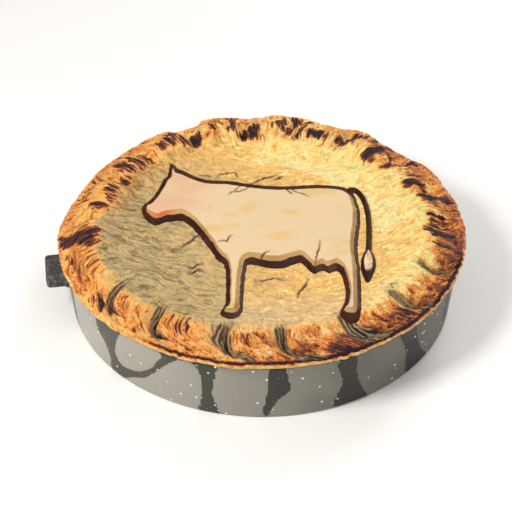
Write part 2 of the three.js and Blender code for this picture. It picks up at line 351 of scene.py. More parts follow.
crust = {
    "radius": 135, "floor": 50, "crest": 57, "bead": 50.8, "edge": 48.2, "edgeHalf": 1.5,
    "riseStart": 76, "crestRadius": 108, "beadRadius": 127,
    "reliefHeight": 0.6, "waveDepth": 1.2, "waveLift": 0.7, "edgeDrop": 1, "sag": 2, "sagBearing": 153,
    "sagHalf": 27, "columns": 1080, "coreRadius": 20, "floorStep": 0.8, "fineFrom": 84, "fineStep": 0.5,
    "rippleHeight": 0.42, "slitDepth": 0.75, "blisterHeight": 0.9, "billowHeight": 1.0,
    "foldDepth": 2.4, "pleatHeight": 0.8, "creaseDepth": 1.0, "creaseRadius": 132.8, "creaseWidth": 0.75,
    "cracks": {"cells": (2.5, 2.2), "sway": 0.8, "width": (0.45, 1.25), "atEnds": 0.45}, "crackDepth": 0.7,
    "pressDepth": 1.1, "tuckIn": 0.6, "overhangHeight": 44.8, "crumble": 0.25, "flowRadius": 112,
}
crimps = {
    "count": 18, "first": 17, "jitter": 3, "lobeHeight": 3.4, "pinchDepth": 3.4,
    "innerReach": 90, "outerReach": 132, "hookMean": 4.5, "hookSwing": 4, "hookBearing": 225,
    "hookFrom": 117, "hookTo": 134, "foldHook": 3.8, "archRise": 8, "foldStart": 93, "foldEnd": 127,
    "foldWidths": (1.1, 1.6), "frontShift": 12, "pleatSpacing": 2.6, "pleatAt": 2.9, "pleatWidth": 3.5,
    "foldShadeAt": 2.4, "foldShadeWidth": 4, "widestFoldShade": 303,
}
dish = {
    "footRadius": 127.6, "rimRadius": 130.6, "height": 44, "wall": 4, "floor": 4.5, "corner": 2.2,
    "innerCorner": 3.5, "outerRound": 1.5, "innerRound": 1, "sides": 540, "gap": 0.3,
}
cutOut = {"sunk": 0.6, "footEdge": 0.3, "footTop": 1.2, "pressed": 3, "freed": 12}

# where the edge draws in, as bearing and half width in degrees, and depth
edgeDips = [(43, 9, 3.8), (67, 6, 3.6), (92, 4.5, 4), (115.5, 5.5, 7), (153, 27, 3.4)]

# small nicks in the edge, as fineness, place in the noise, least value that bites, and depth
edgeNicks = [(34, 12, 0, 0.7), (75, 17, 0.1, 0.5)]

# where the browning starts round the rim, as bearing in degrees and radius
browning = [
    (0, 109), (20, 107), (37, 103), (53, 98), (73, 95), (90, 94), (113, 99), (133, 102), (150, 104),
    (170, 105), (190, 108), (211, 113), (235, 111), (260, 108), (290, 109), (312, 110), (326, 114),
    (340, 113), (349, 109),
]

# scorched patches as first and last bearing, inner and outer radius, strength
scorches = [
    (-3, 3, 110, 125, 0.8), (6.5, 13, 107, 119, 0.9), (11.5, 17, 114, 132, 0.75),
    (19, 21.5, 103, 118, 0.85), (23, 29, 108, 127, 0.38), (30, 32, 109, 121, 0.6),
    (33.5, 37.5, 104, 128, 0.9), (39.5, 44.5, 98, 117, 0.9), (42, 49, 112, 128, 0.6),
    (51.5, 59.5, 104, 128, 0.95), (62, 71, 100, 106, 0.95), (73, 76, 100, 127, 0.65),
    (78, 85, 104, 130, 0.75), (83, 85, 104, 128, 0.85), (89, 98.5, 96, 107, 0.95),
    (99.5, 102.5, 102, 131, 0.95), (105, 110.5, 105, 130, 0.4), (114, 123.5, 98, 110, 0.8),
    (121, 126, 109, 124, 1.0), (124, 131.5, 102, 112, 0.95), (137, 146.5, 98, 112, 0.75),
    (138, 142, 108, 124, 0.7), (147, 151.5, 100, 116, 0.7), (152, 157, 99, 106, 0.6),
    (160, 169, 99, 106, 0.5), (171, 174, 101, 115, 0.75), (177.5, 181, 109, 121, 0.7),
    (182.5, 186.5, 113, 123, 0.55), (187, 193, 106, 136, 0.95), (197, 200, 125, 129, 0.7),
    (217, 224, 125, 130, 0.8), (196, 209, 112, 126, 0.3), (241, 250, 110, 121, 0.32),
    (291, 304, 120, 136, 0.8), (311, 319, 122, 133, 0.8), (322, 350, 125, 136, 0.55),
    (343, 350, 114, 128, 0.55), (350.5, 357, 107, 126, 0.85),
]

# rows of short dark lines, as first and last bearing, inner and outer radius
combs = [(157, 169, 100, 108), (155, 171, 118, 127), (137, 147, 103, 121)]
combLine = {"spacing": 2.1, "half": 0.4, "strength": 0.92}

# cracks in the lid, as points in plan
lidCracks = [
    [(-30, 56), (-28, 59), (-23, 60), (-18, 60), (-16, 56)],
    [(-42, 57), (-35, 57)],
    [(-8, 47), (-2, 52), (8, 57), (11, 59)],
    [(9, 53), (15, 57)],
    [(-52, -22), (-48, -18), (-45, -15), (-43, -11), (-39, -9)],
    [(-4, -56), (2, -56), (7, -54), (10, -54), (14, -56)],
    [(30, -54), (27, -61), (24, -67), (22, -72)],
    [(-46, -44.2), (-43.4, -43.6), (-41.3, -40.8), (-37.5, -39)],
    [(-46.5, -48.7), (-43.7, -49), (-41.3, -46.3), (-38, -46.3)],
]


def baseHeight(r):
    inner = mix(crust["floor"], crust["crest"], smooth(r, crust["riseStart"], crust["crestRadius"]))
    outer = mix(crust["crest"], crust["bead"], smooth(r, crust["crestRadius"], crust["beadRadius"]))
    return np.where(r < crust["crestRadius"], inner, outer)


def turnAt(angle, r, extraHook=0.0):
    # counts pinches round the rim: whole numbers are pinch lines
    focus = np.cos(angle - math.radians(crimps["hookBearing"]))
    hook = crimps["hookMean"] + crimps["hookSwing"] * focus
    hook = hook * smooth(r, crimps["hookFrom"], crimps["hookTo"])
    stray = crimps["jitter"] * roundNoise(angle, 5, 60)
    bearing = np.degrees(angle) - hook - extraHook - stray - crimps["first"]
    return bearing / (360 / crimps["count"])


def edgeWave(angle):
    wave = crust["waveDepth"] * mix(roundNoise(angle, 6, 20), roundNoise(angle, 15, 40), 0.4)
    for bearing, half, depth in edgeDips:
        wave = wave - depth * hump(turned(np.degrees(angle), bearing), half, 4)
    return wave


def edgeLift(angle):
    return crust["waveLift"] * roundNoise(angle, 8, 90)


def edgeSag(angle):
    return crust["sag"] * hump(turned(np.degrees(angle), crust["sagBearing"]), crust["sagHalf"], 4)


def nearSide(angle):
    return facing(angle, 268, 0.02, 0.4)


def crustSurface(x, y, level, footGap):
    # the lid's height at each place in plan, with its masks and the way its fibres run;
    # level is the radius that the place would have if the edge were an even circle
    r, angle = np.hypot(x, y), np.arctan2(y, x)
    free = smooth(footGap, cutOut["pressed"], cutOut["freed"])
    front, frontRight = nearSide(angle), facing(angle, 322, 0.6, 0.85)
    near = r - crimps["frontShift"] * front  # the near folds and bumps lie further out
    bearings, radii = np.array(browning, float).T
    fromBrown = r - np.interp(np.degrees(angle) % 360, bearings, radii, period=360)
    rim = smooth(fromBrown + 4 * fractal(x / 14, y / 14, 3, 5), -6, 7)
    bead = smooth(level + 1.5 * noise(x / 6, y / 6), 119, 125)
    pitch = 2 * math.pi / crimps["count"]

    # the pinches: each bump stands up steeply beside its pinch and falls away slowly to the next one
    turn = turnAt(angle, r)
    u = turn % 1
    size = 1 + 0.22 * hashAt(np.floor(turn) % crimps["count"], 7.0)
    lobe = size * smooth(u, 0, mix(0.3, 0.17, front)) * fade(u, 0.55, 1)
    band = smooth(near, crimps["innerReach"], 105) * fade(level, mix(118, 124, front), crimps["outerReach"])
    lumps = band * (crimps["lobeHeight"] * lobe - crimps["pinchDepth"] * (1 - np.minimum(lobe * 1.6, 1)))

    # a fold runs out along each pinch, and on the near side it hooks on round the bump's foot
    foldEnd = crimps["foldEnd"] + 6 * facing(angle, 318, 0.3, 0.8)
    onArch = np.clip((r - foldEnd) / crimps["archRise"] + 1, 0, 1)
    foldTurn = turnAt(angle, r, front * crimps["foldHook"] * onArch ** 2) + 0.02 * noise(x / 5, y / 5)
    slope = 2 * r * np.radians(front * crimps["foldHook"]) * onArch / crimps["archRise"]
    foldSide = (foldTurn - np.round(foldTurn)) * pitch * r / np.sqrt(1 + slope ** 2)
    foldReach = smooth(near, crimps["foldStart"], 101) * fade(r, foldEnd - 0.8, foldEnd + 0.8)
    foldWidth = mix(*crimps["foldWidths"], fade(foldSide, -1, 1))
    fold = hump(foldSide, foldWidth) * foldReach * mix(0.3, 1, front)
    wander = 0.7 * noise(x / 5 + 9, y / 5) + 0.45 * noise(x / 1.9, y / 1.9 + 30)
    ridges = np.cos((foldSide + 1.5 + wander) * 2 * math.pi / crimps["pleatSpacing"])
    ridges *= 0.75 + 0.25 * noise(x / 4 + 70, y / 4)
    pleats = ridges * hump(foldSide + crimps["pleatAt"], crimps["pleatWidth"]) * foldReach * front

    # fibres: along X on the floor, outwards along the pinches on the rim, round the rim on the bead
    warpX = x + 6 * fractal(x / 30, y / 30, 2, 3) + 2.2 * noise(x / 7, y / 7)
    warpY = y + 8 * fractal(x / 34, y / 26, 2, 9) + 2 * noise(x / 6.5 + 9, y / 7)
    warpY = warpY - 0.17 * np.abs(warpX) * smooth(np.abs(warpX), 10, 80)
    phi = mix(turn, foldTurn, hump(foldSide, 8)) * pitch + 0.01 * noise(x / 4, y / 4)
    cell = phi / (2 * math.pi)
    outward = r + 5 * noise(cell * 90, r / 13, 90)
    floorFibre = mix(noise(warpX / 9, warpY / 2.4), noise(warpX / 5 + 40, warpY / 1.4 + 7), 0.45)
    rimFibre = mix(noise(cell * 380, outward / 11, 380), noise(cell * 620, outward / 6 + 9, 620), 0.45)
    beadFibre = mix(noise(cell * 80, r / 1.9, 80), noise(cell * 140, r / 1.3 + 5, 140), 0.45)
    alongBead, outwards = 0.8 * bead * mix(0.35, 1, front), smooth(fromBrown, -16, -2)
    fibre = mix(mix(floorFibre, rimFibre, outwards), beadFibre, alongBead)
    slit = groove(noise(warpX / 7 + 80, warpY / 2.6 + 30), 0.2) * smooth(noise(x / 5 + 3, y / 4), 0, 0.4)
    rimSlit = groove(noise(cell * 330 + 20, outward / 15 + 40, 330), 0.22)
    rimSlit *= smooth(noise(x / 4 + 31, y / 4), -0.1, 0.3)
    slit = mix(slit * 0.45, rimSlit, outwards)
    curlX, curlY = x + 2.2 * noise(x / 3.1, y / 3.1), y + 2.2 * noise(x / 3.1 + 50, y / 3.1)
    blisters = 0.25 - np.abs(noise(curlX / 3.2 + 7, curlY / 3.2))
    blisters -= 0.25 * np.abs(noise(curlX / 1.7, curlY / 1.7 + 60))
    crumbs = fractal(x / 2.2, y / 2.2, 2, 21)
    billows = 0.3 - np.abs(fractal(x / 6.5, y / 5, 3, 61))
    relief = crust["reliefHeight"] * mix(noise(x / 15, y / 11), noise(x / 6 + 40, y / 5), 0.35)

    # the edge is a thin layer with a crease above it
    creaseAt = crust["creaseRadius"] + 0.3 * roundNoise(angle, 22, 5)
    broken = smooth(facing(angle, 292, 0.45, 0.75) + 0.35 * roundNoise(angle, 9, 71), 0.15, 0.7)
    crease = hump(level - creaseAt, crust["creaseWidth"]) * broken
    z = baseHeight(r) + free * (lumps + relief) - crust["edgeDrop"] * smooth(level, 131.8, 134)
    z += mix(0.4, 1, free) * (1 - 0.7 * smooth(level, 129, 133)) * (
        crust["rippleHeight"] * fibre + mix(0.14, 0.24, rim) * crumbs
        + crust["billowHeight"] * billows * (1 - rim)
        + crust["blisterHeight"] * rim * blisters - crust["slitDepth"] * slit)
    z -= free * (crust["foldDepth"] * fold - crust["pleatHeight"] * pleats)
    z -= crust["creaseDepth"] * crease
    z += edgeLift(angle) * smooth(level, 130, 133.5)
    z -= edgeSag(angle) * smooth(level, 112, 132)
    crack = cracksAt(x, y, lidCracks, crust["cracks"])
    z -= crust["crackDepth"] * crack
    z -= crust["pressDepth"] * smooth(-footGap, 0.2, 1.6)  # pressed down where pastry lies on it

    # how brown each place is, before the fine streaks that the material adds
    mottle = fractal(x / 6, y / 6, 3, 13)
    outerBand = smooth(level + 2 * noise(x / 5, y / 5 + 30), 121.5, 127)
    ember = smooth(u, 0.03, 0.16) * fade(u, 0.42, 0.75) * smooth(near, 97, 108)
    bake = rim * (0.185 + 0.09 * mottle) + 0.03 * bead * (1 - front)
    bake += front * (0.13 * ember * smooth(mottle, -0.6, 0.4) - 0.06 * (1 - ember) * fade(near, 104, 112))
    bake += frontRight * outerBand * (0.2 + 0.24 * mottle)
    for change, where, bearing, low, high in (
        (0.07, smooth(fromBrown, 4, 15), 15, 0.6, 0.9), (-0.07, rim, 92, 0.6, 0.9),
        (-0.05, rim, 160, 0.96, 0.99), (0.05, outerBand, 202, 0.97, 1), (-0.06, outerBand, 225, 0.75, 0.95),
    ):
        bake += change * facing(angle, bearing, low, high) * where
    scorch = np.zeros(x.shape)
    lean = np.degrees(angle) + 0.1 * (r - 112) + 0.9 * noise(x / 5 + 60, y / 5)
    lines = [
        (place - combLine["half"], place + combLine["half"], inner, outer, combLine["strength"])
        for first, last, inner, outer in combs for place in np.arange(first, last, combLine["spacing"])
    ]
    for first, last, inner, outer, strength in scorches + lines:
        away = np.abs(turned(lean, (first + last) / 2)) / ((last - first) / 2)
        patch = fade(away, 0.55, 1.45) * smooth(r, inner - 3, inner + 3) * fade(r, outer - 3, outer + 4)
        scorch = np.maximum(scorch, patch * strength)
    # painted shadow of the bumps along each fold
    hookShadow = fold * mix(0.5, 1, smooth(near, 97, 106))
    creamLip = smooth(level, creaseAt + 0.7, creaseAt + 1.2) * front * (1 - 0.7 * frontRight)
    bake = mix(bake, 0.07 + 0.08 * mottle, creamLip)
    scorch *= 1 - creamLip

    # the floor's tone: greyish khaki on the left to pale yellow at the far right
    leftRim = rim * facing(angle, 175, 0.3, 0.8)
    tone = 0.27 + 0.45 * smooth(x + 0.22 * y + 12 * fractal(x / 26, y / 26, 2, 50), -88, 45)
    # painted highlight: the floor is paler where it rises towards the far right rim
    tone += 0.4 * facing(angle, 42, 0.55, 0.98) * smooth(r, 62, 82)
    tone += 0.17 * facing(angle, 85, 0.3, 0.95) * smooth(r, 50, 80)
    tone += 0.08 * fractal(x / 12, y / 8, 3, 77) + 0.1 * smooth(x, 58, 80)
    tone += 0.1 * facing(angle, 300, 0.5, 0.9) * smooth(r, 90, 104) + 0.22 * leftRim
    chill = smooth(fractal(x / 9, y / 5, 3, 91), -0.1, 0.45) * fade(x + 0.3 * y, -35, 30)
    nearChill = 0.6 * smooth(fractal(x / 9, y / 5, 3, 95), 0.1, 0.5) * smooth(-y, 35, 60) * fade(x, 25, 45)
    golden = smooth(fromBrown, -24, -5) * facing(angle, 70, -0.75, 0.1)

    # painted shade lies grey on the pleats beside each fold, and thinly where the fold starts, on the near
    # side
    shadeSide = facing(angle, 275, 0.3, 0.55)
    width = crimps["foldShadeWidth"] + 1.2 * hashAt(np.round(foldTurn) % crimps["count"], 3.0)
    width += 0.9 * noise(x / 4 + 15, y / 4) + 3 * hump(turned(np.degrees(angle), crimps["widestFoldShade"]), 9)
    foldShade = hump(foldSide + crimps["foldShadeAt"], width, 4) * smooth(near, 92, 99)
    foldShade *= fade(r, foldEnd - 4, foldEnd + 1)
    thinFoldShade = 0.45 * hump(foldSide, 10) * smooth(near, 88, 94) * fade(near, 95, 103)
    masks = {
        "bake": bake, "scorch": scorch, "rim": rim, "bead": alongBead, "fibre": 0.5 + 0.5 * fibre,
        "tone": tone, "chill": np.maximum(chill, nearChill) * (1 - rim), "pleat": 0.5 + 0.5 * ridges,
        "golden": np.maximum(golden, leftRim), "foldShade": np.maximum(foldShade, thinFoldShade) * shadeSide,
        "blush": smooth(-y, 62, 86) * smooth(x, -40, 0) * fade(x, 50, 80),
        "crack": np.maximum(crack, 0.45 * slit * (1 - rim)),
        "crease": np.maximum.reduce([crease * mix(0.4, 1, front), hookShadow * shadeSide, 0.5 * slit * rim]),
    }
    flows = {
        "flow": ringAt(crust["flowRadius"], outward, phi),
        "drift": np.stack([warpX, warpY, np.zeros(x.shape)], -1),
    }
    return z, masks, flows


def makeCrust(footLine, tailLine):
    columns, lipStart = crust["columns"], crust["radius"] - crust["edgeHalf"]
    angles = np.arange(columns) * 2 * math.pi / columns
    radii = np.concatenate([
        np.linspace(0, crust["coreRadius"], 9)[1:-1],
        np.arange(crust["coreRadius"], crust["fineFrom"], crust["floorStep"]),
        np.arange(crust["fineFrom"], lipStart, crust["fineStep"]),
    ])
    edge = edgeWave(angles) - 0.1
    for detail, seed, least, depth in edgeNicks:
        edge = edge - depth * smooth(roundNoise(angles, detail, seed), least, 0.7)
    level = np.broadcast_to(radii[:, None], (len(radii), columns))
    r = level + edge * smooth(level, 118, crust["radius"])
    x, y = r * np.cos(angles), r * np.sin(angles)
    footGap = -np.maximum(insideDistance(x, y, footLine), insideDistance(x, y, tailLine))
    top, masks, flows = crustSurface(x, y, level, footGap)

    # the lip is turned under as a half round, then the underside follows the dish
    rings = [*np.stack([x, y, top], -1)]
    lift = edgeLift(angles) - edgeSag(angles)
    crumble = crust["crumble"] * (fractal(np.cos(angles) * 60, np.sin(angles) * 60, 2, 4) - 1)
    lipTurns = np.radians([45, 20, 0, -25, -50, -80])
    for turnUnder in lipTurns:
        out = lipStart + edge + (crust["edgeHalf"] + crumble) * math.cos(turnUnder)
        rings.append(ringAt(out, crust["edge"] + crust["edgeHalf"] * math.sin(turnUnder) + lift, angles))
    innerRim = dish["rimRadius"] - dish["wall"] - dish["gap"]
    innerFoot = dish["footRadius"] - dish["wall"] - dish["gap"]
    bottom, corner = dish["floor"] + dish["gap"], dish["innerCorner"]
    overhang = np.minimum(dish["rimRadius"] + 1, lipStart + edgeWave(angles) - crust["tuckIn"])
    for radius, height in (
        (overhang, crust["overhangHeight"]), (innerRim, dish["height"] + dish["gap"]),
        (innerRim, dish["height"] - dish["innerRound"]), (innerFoot, bottom + corner),
        (innerFoot - corner, bottom),
    ):
        rings.append(ringAt(radius, height, angles))
    points = np.vstack([*rings, [[0, 0, crust["floor"] - crust["pressDepth"]], [0, 0, bottom]]])
    piece = meshPiece("bakedCrust", points, shellFaces(len(rings), columns), "crust", "pie")

    # below the top, the masks carry on from the lip
    below = {"bake": 0.2, "tone": 0.78, "rim": 1, "bead": 1, "fibre": 0.5}
    rest = len(points) - x.size
    whole = {name: np.append(values, np.full(rest, below.get(name, 0))) for name, values in masks.items()}
    streaky = 0.1 * fractal(np.cos(angles) * 30, np.sin(angles) * 30, 2, 8)
    under = fade(lipTurns, -0.1, 0.4)[:, None]
    lipBake = mix(0.28, mix(0.16, 0.03, under), nearSide(angles)) + streaky
    whole["bake"][x.size:x.size + lipBake.size] = lipBake.ravel()
    setMasks(piece, **whole)
    for name, vectors in flows.items():
        lower = [vectors[-1] + [0, 0, k + 1] for k in range(len(rings) - len(radii))]
        setFlow(piece, name, np.vstack([*vectors, *lower, np.zeros((2, 3))]))
    return piece


def crustMaterial():
    material, n = newMaterial("bakedCrust")
    grain = n.group("grain", Crumb_Size=0.0014, Roughness_Of_Crumb=0.72)
    crumb, cracks = grain["Tone"], grain["Cracks"]
    flow, drift = n.mask("flow", "Vector"), n.mask("drift", "Vector")
    onFloor = n.stretched(drift, (0.15, 0.34, 1), Detail=5)
    onRim = n.stretched(flow, (0.72, 0.72, 0.16), Detail=5, Roughness=0.72)
    onBead = n.stretched(flow, (0.3, 0.3, 0.75), Detail=5, Roughness=0.66)
    streak = n.between(n.mask("bead"), n.between(n.mask("rim"), onFloor, onRim), onBead) - 0.5
    # the fibre mask follows the ripples' height, so wave paints their tops lighter and their dips darker:
    # painted highlight and painted shade
    wave = n.mask("fibre") - 0.5

    # the lid's own tone, from dark lines through khaki to pale yellow
    tone = n.mask("tone")
    flick = streak * 1.4 + crumb * 1.05 + wave * 0.35 - cracks * 0.16
    lid = n.ramp(tone + flick, {
        0: "#7c6843", 0.14: "#a28b5d", 0.3: "#c0a877", 0.46: "#d9b77c", 0.64: "#f0bb6c", 0.82: "#fdce77",
        1: "#ffeea8",
    })
    goldPatch = n.span(n.stretched(drift, (0.045, 0.09, 1), Detail=2), 0.5, 0.7)
    goldPatch = goldPatch * n.span(tone, 0.28, 0.6, 0.12, 0.5)
    gold = n.ramp(tone + flick * 1.25, {0.1: "#b07a3e", 0.4: "#e4a954", 0.7: "#ffc768", 1: "#ffea94"})
    lid = n.blend(n.math("MAXIMUM", goldPatch, n.mask("golden") * 0.7), lid, gold)
    blush = n.ramp(flick + 0.5, {0.15: "#b89a6e", 0.5: "#f2d2a2", 0.85: "#fff0c4"})
    lid = n.blend(n.mask("blush") * 0.5, lid, blush)
    cool = n.mask("chill") * n.span(streak, -0.12, 0.16, 0.1, 0.5)
    lid = n.blend(cool, lid, n.ramp(grain["Height"], {0.3: "#918660", 0.75: "#c2b896"}))

    # baking: broad browning, fine streaks, and scorched places that break up along the streaks
    brown, scorch = n.mask("bake"), n.mask("scorch")
    fine = streak * 1.1 + crumb * 0.75 + wave * 0.3 - cracks * 0.2
    bake = brown - fine * 1.25 * n.span(brown, 0.02, 0.2)
    strand = n.stretched(flow, (0.42, 0.42, 0.035), Detail=5, Roughness=0.62) - 0.5
    ragged = scorch + (strand * -4.4 - fine - 0.05) * n.span(scorch, 0, 0.25)
    for low, high, most in ((0.1, 0.6, 0.6), (0.4, 1, 0.97)):
        bake = n.math("MAXIMUM", bake, n.span(ragged, low, high, 0, most))
    # painted shade: the crease mask darkens the crease under the bead, the folds and the rim's slits
    bake = n.math("ADD", bake, n.mask("crease") * 0.75, clamp=True)
    shade = n.group("bake", Pale=lid, Bake=bake)["Color"]
    # the folds' painted shade: near black in the pleats' grooves, with painted highlights on their ridges
    ridge = (n.mask("pleat") - 0.5) * 0.72 + n.stretched(flow, (1, 1, 0.06))
    foldShadeTone = n.ramp(ridge, {0.24: "#1a1518", 0.42: "#3e3530", 0.58: "#7a6a52", 0.8: "#b9a37d"})
    shade = n.blend(n.span(n.mask("foldShade") - streak * 1.2, 0.14, 0.72, 0, 0.9), shade, foldShadeTone)
    height = grain["Height"] * 0.8 + streak * 1.6 - cracks * 0.35
    n.finish(
        Base_Color=n.blend(n.mask("crack"), shade, "#4a2c1a"), Roughness=n.span(bake, 0.1, 0.9, 0.62, 0.5),
        Normal=n.bump(height, 1, 0.001), Specular_IOR_Level=0.25)
    return material


# the cow's outline in its natural proportions, part by part, each from where the last one ends
cowParts = {
    "start": [(-61.5, 38)],
    "neck": [(-58.6, 35.2), (-54.3, 34.4), (-45, 30.2), (-36, 27.6), (-23, 27.2)],
    "back": [(-11, 25.3), (1.2, 23.7), (16, 23.1), (38, 24.1), (54, 23), (61, 19.6)],
    "ham": [(63.4, 10), (62.4, 0), (59.8, -14), (60, -28.6), (59.2, -44), (57.8, -57.2)],
    "hindHoof": [(56.2, -59.6), (50.6, -59.6), (50, -58.4)],
    "shin": [(53, -55), (54.9, -46), (55, -38), (53.4, -30.4), (50.4, -26)],
    "udder": [(47.4, -25), (42.4, -26.8), (39.2, -25), (33.8, -26.8), (30.4, -23.8)],
    "belly": [(26, -20.2), (20, -21.2), (13, -23.4), (4.8, -23.4), (-3, -21.6)],
    "foreleg": [(-8, -21.4), (-11.4, -23.6), (-12.6, -30), (-13.7, -42), (-14, -53)],
    "foreHoof": [(-16, -57.6), (-21.6, -58), (-22.6, -56.8)],
    "legFront": [(-19.6, -51.5), (-19.3, -42), (-19.7, -30), (-21.6, -22.6)],
    "throat": [(-26, -19.6), (-31, -12.6), (-41.7, 0.2), (-49.6, 6.6), (-54, 7.6)],
    "muzzle": [(-62.8, 6.7), (-69.5, 4.6), (-74.6, 7.2), (-77, 10.4), (-76.4, 12.2)],
    "face": [(-73.6, 13.6), (-69.4, 19.2), (-65.8, 26.4), (-64.4, 29.6), (-61.4, 32.6)],
}
cow = {
    "stretch": 1.6, "points": 600, "voxel": 0.55, "top": 3.6, "reach": 6,
    "foot": {"left": 3.2, "right": 2.7, "back": 4.9, "front": 4.2},
    "shoulder": {"left": -0.7, "right": -2.7, "back": -0.5, "front": -1.8},
    "cracks": {"cells": (2.3, 2.1), "sway": 0.7, "width": (0.35, 1), "atEnds": 0.4}, "crackDepth": 0.8,
    "doughHeight": 0.16,
}
tail = {
    "halfWidth": 0.75, "tuftHalfWidth": 3.1, "tuftStart": 0.7, "steps": 130, "voxel": 0.35, "top": 2.6,
    "route": [(59, 24.4), (64.4, 24.4), (68.6, 19.6), (70.9, 11), (71.2, 2), (70.2, -9), (69, -18),
              (66.6, -38)],
    "foot": {"left": 1.1, "right": 1.1, "back": 1.1, "front": 1.1}, "reach": 1.8,
    "shoulder": {"left": -0.35, "right": -0.35, "back": -0.35, "front": -0.35}, "doughHeight": 0.14,
}

# cracks in the cow's top, as points in plan
cowCracks = [
    [(-22, 31), (-20, 34), (-16, 34), (-11, 36), (-8, 40)],
    [(-18, 35), (-15, 40)],
    [(-28, -20), (-24, -19), (-22, -20), (-21, -16), (-19, -14)],
    [(17, 37), (21, 31)],
    [(21, 36), (25, 33), (33, 28)],
    [(-2, -40), (0, -35), (2, -32), (5, -30)],
    [(38, -19), (37, -28), (36, -32), (35, -37), (34, -43)],
]


def throughPoints(points, steps=24):
    # a smooth curve through the points
    p = np.array([points[0], *points, points[-1]], float)
    t = np.linspace(0, 1, steps, endpoint=False)[:, None]
    parts = []
    for k in range(1, len(p) - 2):
        leave, arrive = (p[k + 1] - p[k - 1]) / 2, (p[k + 2] - p[k]) / 2
        parts.append((2 * p[k] - 2 * p[k + 1] + leave + arrive) * t ** 3
                     + (-3 * p[k] + 3 * p[k + 1] - 2 * leave - arrive) * t ** 2 + leave * t + p[k])
    return np.vstack([*parts, p[-1:]])


def evenly(line, count, closed):
    # the same line with its points evenly spaced
    if closed:
        line = np.vstack([line, line[:1]])
    steps = np.hypot(*np.diff(line, axis=0).T)
    keep = np.concatenate([[True], steps > 1e-6])
    line, run = line[keep], np.concatenate([[0], np.cumsum(steps[steps > 1e-6])])
    places = np.linspace(0, run[-1], count, endpoint=not closed)
    return np.stack([np.interp(places, run, line[:, 0]), np.interp(places, run, line[:, 1])], -1)


def cowOutline():
    parts = list(cowParts.values())
    drawn, end = [], parts[0][0]
    for points in parts[1:]:
        drawn.append(throughPoints([end, *points]))
        end = points[-1]
    return evenly(np.vstack(drawn), cow["points"], True)[::-1]


def tailOutline():
    line = evenly(throughPoints(tail["route"]), tail["steps"], False)
    heading = np.gradient(line, axis=0)
    heading /= np.hypot(*heading.T)[:, None]
    tuft = np.clip((np.linspace(0, 1, len(line)) - tail["tuftStart"]) / (1 - tail["tuftStart"]), 0, 1)
    half = tail["halfWidth"] * (1 - tuft ** 2) + tail["tuftHalfWidth"] * np.sin(math.pi * tuft ** 0.8)
    side = np.stack([-heading[:, 1], heading[:, 0]], -1) * half[:, None]
    return np.vstack([line - side, (line + side)[-2::-1]])


def spread(outline, sides, reach):
    # moves an outline out by so much on each side, along normals smoothed over a short reach
    edges = np.roll(outline, -1, 0) - outline
    window = max(2, int(round(reach / np.hypot(*edges.T).mean())))
    normals = np.stack([edges[:, 1], -edges[:, 0]], -1)
    normals /= np.maximum(np.hypot(*normals.T), 1e-9)[:, None]
    total = sum(np.roll(normals, -k, 0) for k in range(-window, window))
    total /= np.maximum(np.hypot(*total.T), 1e-9)[:, None]
    dx = np.where(total[:, 0] > 0, sides["right"], sides["left"]) * total[:, 0]
    dy = np.where(total[:, 1] > 0, sides["back"], sides["front"]) * total[:, 1]
    return outline + np.stack([dx, dy], -1)


def cutOutPiece(name, nodeName, slotName, outline, shape):
    # a flat cut-out, rounded by remeshing, with its points and their normals, and its three outlines
    stretch = [1, cow["stretch"]]
    foot = spread(outline, shape["foot"], shape["reach"]) * stretch
    wall = outline * stretch
    shoulder = spread(outline, shape["shoulder"], shape["reach"]) * stretch
    levels = [
        (foot, -cutOut["sunk"]), (foot, cutOut["footEdge"]), (wall, cutOut["footTop"]),
        (mix(wall, shoulder, 0.75), shape["top"] - 0.5), (shoulder, shape["top"]),
    ]
    points = np.vstack([np.column_stack([ring, np.full(len(ring), up)]) for ring, up in levels])
    count = len(outline)
    faces = [f[::-1] for f in ringFaces(len(levels), count)]
    faces += [list(range(count))[::-1], list(range((len(levels) - 1) * count, len(levels) * count))]
    piece = meshPiece(name, points, faces, slotName, nodeName)
    remesh = piece.modifiers.new("soften", "REMESH")
    remesh.mode, remesh.voxel_size = "VOXEL", shape["voxel"] * mm
    relax = piece.modifiers.new("relax", "SMOOTH")
    relax.factor, relax.iterations = 0.5, 4
    graph = bpy.context.evaluated_depsgraph_get()
    rounded = bpy.data.meshes.new_from_object(piece.evaluated_get(graph))
    piece.modifiers.clear()
    piece.data = rounded
    rounded.name = name
    rounded.shade_smooth()
    places, normals = np.zeros((2, len(rounded.vertices) * 3), np.float32)
    rounded.vertices.foreach_get("co", places)
    rounded.vertex_normals.foreach_get("vector", normals)
    places, normals = places.reshape(-1, 3).astype(float) / mm, normals.reshape(-1, 3).astype(float)
    return piece, places, normals, wall, shoulder, foot


def layOnLid(piece, points, x, y):
    points[:, 2] += baseHeight(np.hypot(x, y))
    piece.data.vertices.foreach_set("co", (points * mm).astype(np.float32).ravel())
    piece.data.update()


